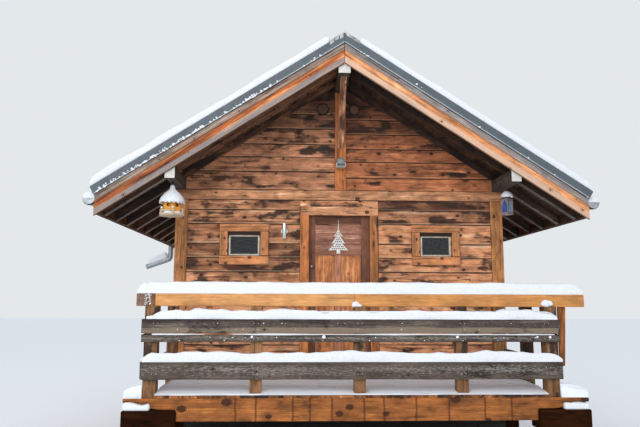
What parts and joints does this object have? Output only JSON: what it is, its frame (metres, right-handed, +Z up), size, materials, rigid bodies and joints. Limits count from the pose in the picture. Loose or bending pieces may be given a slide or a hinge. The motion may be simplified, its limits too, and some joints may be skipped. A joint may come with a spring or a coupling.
{
  "type": "alpine timber chalet",
  "caption": "Alpine timber chalet on a masonry plinth with a wide snowy gable roof, a raised deck with a plank railing and a hinged door.",
  "frame": {"origin": "centre of the bounding box at the lowest ground under the plinth and the deck's posts", "axes": "+Z up, +Y from the deck and the front gable towards the back, +X to the right as seen from the front"},
  "size_m": [7.0882, 6.295, 5.3641],
  "materials": {
    "masonry": "matte",
    "old_larch": "matte",
    "new_larch": "matte",
    "dark_larch": "matte",
    "grey_larch": "matte",
    "door_paint": "satin",
    "window_wood": "matte",
    "cream_paint": "satin",
    "pane_glass": "gloss",
    "roof_metal": "satin",
    "cap_metal": "satin",
    "zinc": "satin",
    "snow": "matte",
    "lamp_steel": "satin",
    "pale_plastic": "matte",
    "yellow_paint": "satin",
    "lantern_metal": "satin",
    "iron": "satin",
    "pale_wood": "matte"
  },
  "bodies": {
    "house": {"plinth": "masonry", "house_floor": "old_larch", "front_wall_left": "old_larch", "front_wall_right": "old_larch", "front_wall_over_door": "old_larch", "side_walls": "old_larch", "back_wall": "old_larch", "front_gable": "old_larch", "back_gable": "old_larch", "corner_posts": "old_larch", "tie_beams": "old_larch", "king_posts": "old_larch", "ridge_braces": "dark_larch", "ridge_purlin": "grey_larch", "wall_plates": "grey_larch", "purlin_caps": "cap_metal", "rafters": "dark_larch", "rafter_blocks": "dark_larch", "eave_boards": "dark_larch", "roof_boards": "dark_larch", "barge_boards": "new_larch", "verge_boards": "grey_larch", "roof_battens": "dark_larch", "roof_sheets": "roof_metal", "ridge_cap": "roof_metal", "gutters": "zinc", "gutter_spouts": "zinc", "roof_snow": "snow", "gutter_snow": "snow", "door_frame": "old_larch", "door_hinges": "iron", "window_frames": "window_wood", "window_sashes": "cream_paint", "window_glass": "pane_glass", "wall_lamp": "lamp_steel", "gable_light": "pale_plastic", "birdhouse": "yellow_paint", "lantern": "lantern_metal", "deck_beam": "new_larch", "beam_caps": "old_larch", "deck_posts": "old_larch", "deck_bearers": "old_larch", "deck_planks": "new_larch", "rail_posts": "old_larch", "handrails": "new_larch", "front_rails": "grey_larch", "side_rails": "grey_larch", "rail_slats": "new_larch", "rail_snow": "snow", "deck_snow": "snow"},
    "door": {"door_leaf": "door_paint", "door_hardware": "iron", "door_ornament": "pale_wood"}
  },
  "joints": [
    {"name": "door_hinge", "type": "hinge", "parent": "house", "child": "door", "pos_m": [0.398, -1.1345, 2.1], "axis": [0, 0, -1], "range_deg": [0, 95]}
  ]
}
